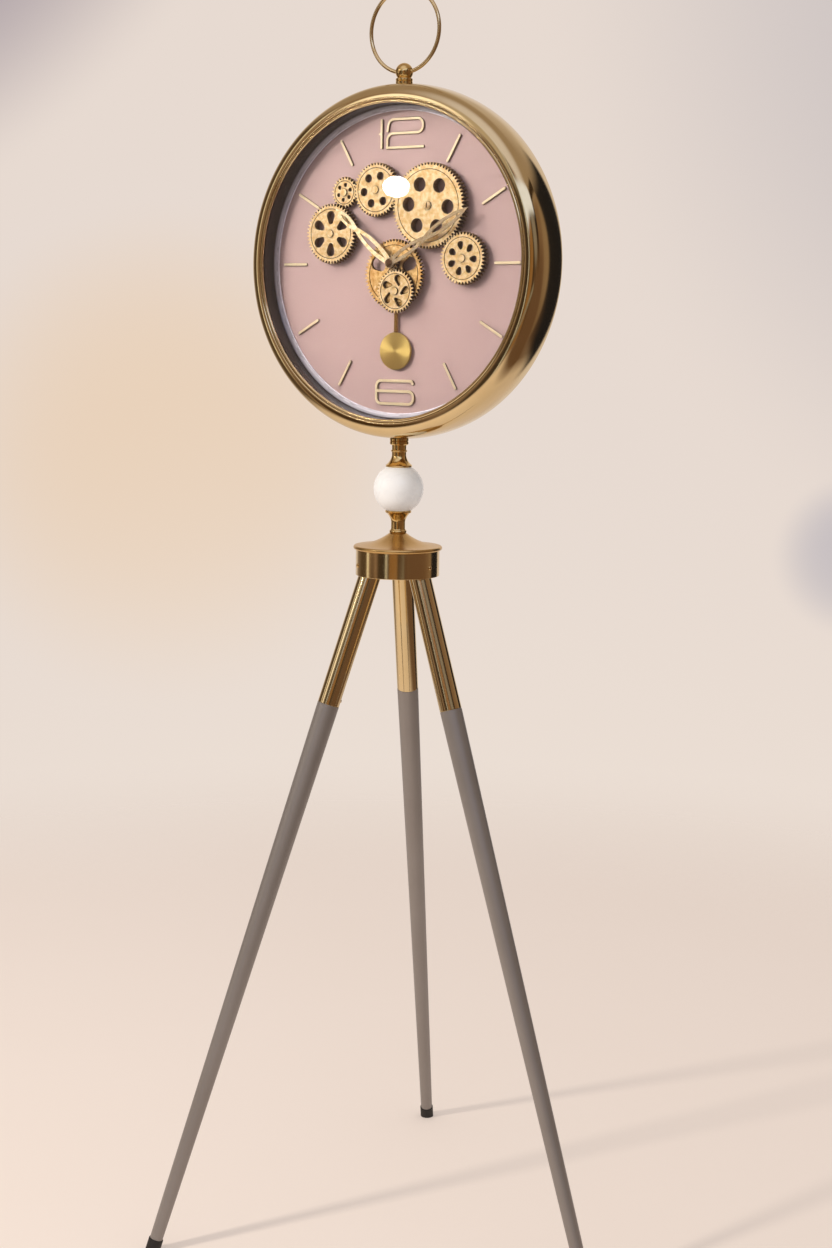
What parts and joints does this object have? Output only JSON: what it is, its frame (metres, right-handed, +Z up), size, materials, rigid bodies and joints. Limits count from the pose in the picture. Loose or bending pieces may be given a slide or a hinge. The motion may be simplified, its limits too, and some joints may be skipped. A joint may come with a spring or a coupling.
{
  "type": "tripod floor clock",
  "caption": "Round open-wheel floor clock with brass case, pink dial, turning gear wheels and pendulum on a tripod stand.",
  "frame": {"origin": "on the floor under the stem, in the middle of the circle through the three feet", "axes": "+Z up along the stem, the dial faces -Y, +X to the right of someone reading the dial"},
  "size_m": [0.5742, 0.6039, 1.6669],
  "materials": {
    "case_brass": "polished, antique tone",
    "clear_glass": "clear",
    "inner_black": "satin black",
    "dial_paint": "matte dusty pink",
    "fibreboard": "raw",
    "back_sheet": "matte black coat",
    "screw_steel": "zinc plated",
    "mark_gold": "satin champagne",
    "great_gold": "satin, mottled",
    "wheel_gold": "satin, mottled",
    "front_gold": "satin",
    "plate_gold": "satin",
    "post_gold": "satin",
    "arbor_steel": "turned",
    "hand_gold": "polished",
    "pendulum_gold": "spun satin",
    "movement_black": "moulded",
    "cell_wrap": "plain wrap",
    "motor_can": "pressed",
    "turned_brass": "polished, antique tone",
    "ring_brass": "polished, antique tone",
    "hub_brass": "polished, antique tone",
    "white_marble": "polished white marble",
    "stem_steel": "plain",
    "sleeve_brass": "polished, antique tone",
    "leg_grey": "satin warm grey",
    "foot_rubber": "moulded",
    "screw_brass": "satin"
  },
  "bodies": {
    "stand": {"case_ring": "case_brass", "bezel_bead": "case_brass", "glass_lens": "clear_glass", "inner_wall": "inner_black", "dial_plate": "dial_paint", "spacer_ring": "fibreboard", "back_cover": "back_sheet", "access_door": "back_sheet", "cover_screws": "screw_steel", "motor_screws": "screw_steel", "post_nuts": "screw_steel", "numeral_12": "mark_gold", "numeral_6": "mark_gold", "hour_batons": "mark_gold", "centre_plate": "plate_gold", "gear_posts": "post_gold", "minute_post": "post_gold", "plate_pillars": "post_gold", "gear_caps": "post_gold", "arbor_bush": "post_gold", "bush_nut": "post_gold", "movement": "movement_black", "battery_cell": "cell_wrap", "gear_motor": "motor_can", "finial": "turned_brass", "upper_collar": "turned_brass", "lower_collar": "turned_brass", "dome_cap": "turned_brass", "hub_drum": "hub_brass", "marble_ball": "white_marble", "stem_rod": "stem_steel", "stem_nuts": "stem_steel", "leg_sleeve_left": "sleeve_brass", "leg_sleeve_right": "sleeve_brass", "leg_sleeve_back": "sleeve_brass", "leg_lower_left": "leg_grey", "leg_lower_right": "leg_grey", "leg_lower_back": "leg_grey", "foot_tip_left": "foot_rubber", "foot_tip_right": "foot_rubber", "foot_tip_back": "foot_rubber", "leg_screws": "screw_brass"},
    "minute": {"minute_arbor": "arbor_steel", "minute_hand": "hand_gold", "hand_nut": "hand_gold"},
    "hour": {"hour_tube": "arbor_steel", "hour_pinion": "front_gold", "hour_hand": "hand_gold"},
    "minute_wheel": {"gear_minute": "front_gold"},
    "great": {"gear_great": "great_gold", "great_arbor": "arbor_steel", "great_bolt": "post_gold"},
    "top": {"gear_top": "wheel_gold"},
    "small": {"gear_small": "wheel_gold"},
    "left": {"gear_left": "wheel_gold"},
    "right": {"gear_right": "wheel_gold"},
    "pendulum": {"pendulum_rod": "pendulum_gold", "pendulum_bob": "pendulum_gold"},
    "ring": {"bail_ring": "ring_brass"},
    "knob": {"setting_knob": "movement_black"}
  },
  "joints": [
    {"name": "minute_turn", "type": "hinge", "parent": "stand", "child": "minute", "pos_m": [0, -0.0065, 1.3192], "axis": [0, 1, 0], "continuous": true},
    {"name": "hour_turn", "type": "hinge", "parent": "stand", "child": "hour", "pos_m": [0, -0.0065, 1.3192], "axis": [0, 1, 0], "continuous": true},
    {"name": "minute_wheel_turn", "type": "hinge", "parent": "stand", "child": "minute_wheel", "pos_m": [0.00625, -0.0065, 1.28375], "axis": [0, 1, 0], "continuous": true},
    {"name": "great_turn", "type": "hinge", "parent": "stand", "child": "great", "pos_m": [0.0534, -0.0065, 1.391], "axis": [0, 1, 0], "continuous": true},
    {"name": "top_turn", "type": "hinge", "parent": "stand", "child": "top", "pos_m": [-0.02919, -0.0065, 1.41313], "axis": [0, 1, 0], "continuous": true},
    {"name": "small_turn", "type": "hinge", "parent": "stand", "child": "small", "pos_m": [-0.08091, -0.0065, 1.41132], "axis": [0, 1, 0], "continuous": true},
    {"name": "left_turn", "type": "hinge", "parent": "stand", "child": "left", "pos_m": [-0.09959, -0.0065, 1.35827], "axis": [0, 1, 0], "continuous": true},
    {"name": "right_turn", "type": "hinge", "parent": "stand", "child": "right", "pos_m": [0.10512, -0.0065, 1.32481], "axis": [0, 1, 0], "continuous": true},
    {"name": "pendulum_swing", "type": "hinge", "parent": "stand", "child": "pendulum", "pos_m": [0, -0.0065, 1.3192], "axis": [0, 1, 0], "range_deg": [-5, 5]},
    {"name": "ring_tilt", "type": "hinge", "parent": "stand", "child": "ring", "pos_m": [0, 0, 1.561], "axis": [1, 0, 0], "range_deg": [-90, 90]},
    {"name": "knob_turn", "type": "hinge", "parent": "stand", "child": "knob", "pos_m": [0.014, -0.0065, 1.3312], "axis": [0, 1, 0], "continuous": true}
  ],
  "couplings": [
    {"joint": "hour_turn", "follows": "minute_turn", "ratio": 0.083333},
    {"joint": "minute_wheel_turn", "follows": "minute_turn", "ratio": -0.027778},
    {"joint": "knob_turn", "follows": "minute_turn", "ratio": -1},
    {"joint": "top_turn", "follows": "great_turn", "ratio": -1.5909},
    {"joint": "right_turn", "follows": "great_turn", "ratio": -1.6667},
    {"joint": "small_turn", "follows": "great_turn", "ratio": 2.8},
    {"joint": "left_turn", "follows": "great_turn", "ratio": -1.4}
  ]
}
